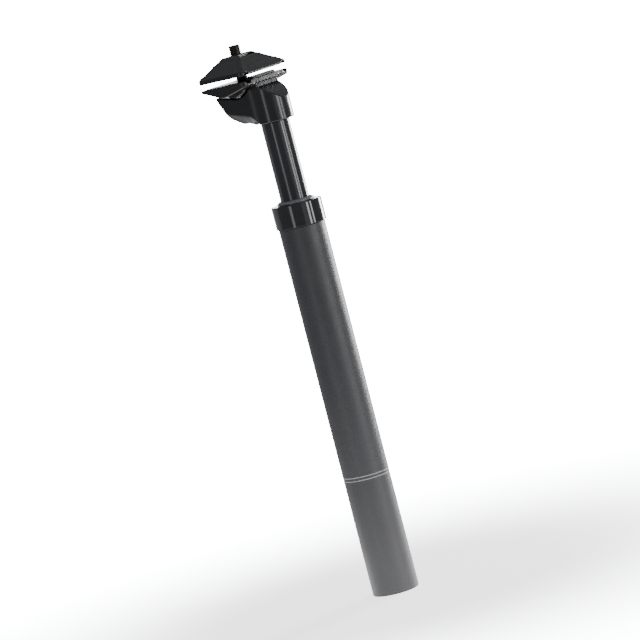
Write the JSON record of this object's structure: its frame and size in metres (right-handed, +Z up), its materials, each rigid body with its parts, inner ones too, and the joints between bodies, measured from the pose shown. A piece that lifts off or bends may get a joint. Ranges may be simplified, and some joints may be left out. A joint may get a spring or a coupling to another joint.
{
  "type": "suspension seatpost",
  "caption": "Telescopic coil-spring bicycle seatpost: a tube that fits the seat tube, a sprung shaft sliding in its collar, and a tilting two-piece clamp for saddle rails.",
  "frame": {"origin": "centre of the outer tube's bottom end", "axes": "+Z up along the post's axis, +X to the front of the bicycle, +Y to its left"},
  "size_m": [0.0504, 0.054, 0.3714],
  "materials": {
    "satin_tube": "bead-blasted satin black anodised",
    "gloss_collar": "polished black anodised",
    "gloss_shaft": "polished hard black anodised",
    "head_paint": "gloss black over forged aluminium",
    "clamp_black": "dark satin over forged aluminium",
    "bolt_steel": "black oxide",
    "key_steel": "ground",
    "spring_steel": "oiled",
    "wiper_rubber": "moulded",
    "acetal": "moulded",
    "elastomer": "cast",
    "bare_aluminium": "turned"
  },
  "bodies": {
    "outer_post": {"outer_tube": "satin_tube", "top_collar": "gloss_collar", "upper_bushing": "acetal", "wiper_seal": "wiper_rubber", "top_out_bumper": "elastomer", "main_spring": "spring_steel"},
    "inner_post": {"inner_shaft": "gloss_shaft", "seat_head": "head_paint", "slider_bushing": "acetal", "guide_key_left": "key_steel", "guide_key_right": "key_steel", "slider_retaining_ring": "key_steel", "shaft_end_plug": "bare_aluminium", "bolt_washer": "bolt_steel"},
    "lower_jaw": {"lower_clamp": "clamp_black"},
    "upper_jaw": {"upper_clamp": "clamp_black"},
    "nut": {"clamp_nut": "bolt_steel"},
    "bolt": {"clamp_bolt": "bolt_steel"},
    "preload_seat": {"spring_seat": "bare_aluminium", "bumper_core": "elastomer"},
    "preload_screw": {"preload_plug": "bare_aluminium"}
  },
  "joints": [
    {"name": "suspension_travel", "type": "slide", "parent": "outer_post", "child": "inner_post", "axis": [0, 0, -1], "range_m": [0, 0.05], "stiffness_N_per_m": 15000, "springref_m": -0.01, "deforming": ["main_spring"]},
    {"name": "clamp_tilt", "type": "hinge", "parent": "inner_post", "child": "lower_jaw", "pos_m": [-0.0165, 0, 0.35], "axis": [0, 1, 0], "range_deg": [-10, 6]},
    {"name": "upper_clamp_lift", "type": "slide", "parent": "lower_jaw", "child": "upper_jaw", "axis": [0, 0, 1], "range_m": [0, 0.00125]},
    {"name": "clamp_bolt_turn", "type": "hinge", "parent": "inner_post", "child": "bolt", "pos_m": [-0.0165, 0, 0.32], "axis": [0, 0, -1], "range_deg": [0, 360]},
    {"name": "clamp_nut_lift", "type": "slide", "parent": "inner_post", "child": "nut", "axis": [0, 0, 1], "range_m": [0, 0.00125]},
    {"name": "preload_travel", "type": "slide", "parent": "outer_post", "child": "preload_seat", "axis": [0, 0, 1], "range_m": [0, 0.0075], "deforming": ["main_spring"]},
    {"name": "preload_turn", "type": "hinge", "parent": "preload_seat", "child": "preload_screw", "pos_m": [0, 0, 0.0015], "axis": [0, 0, 1], "range_deg": [0, 1800]}
  ],
  "couplings": [
    {"joint": "upper_clamp_lift", "follows": "clamp_bolt_turn", "m_per_rad": 0.0001989},
    {"joint": "clamp_nut_lift", "follows": "clamp_bolt_turn", "m_per_rad": 0.0001989},
    {"joint": "preload_travel", "follows": "preload_turn", "m_per_rad": 0.0002387}
  ]
}
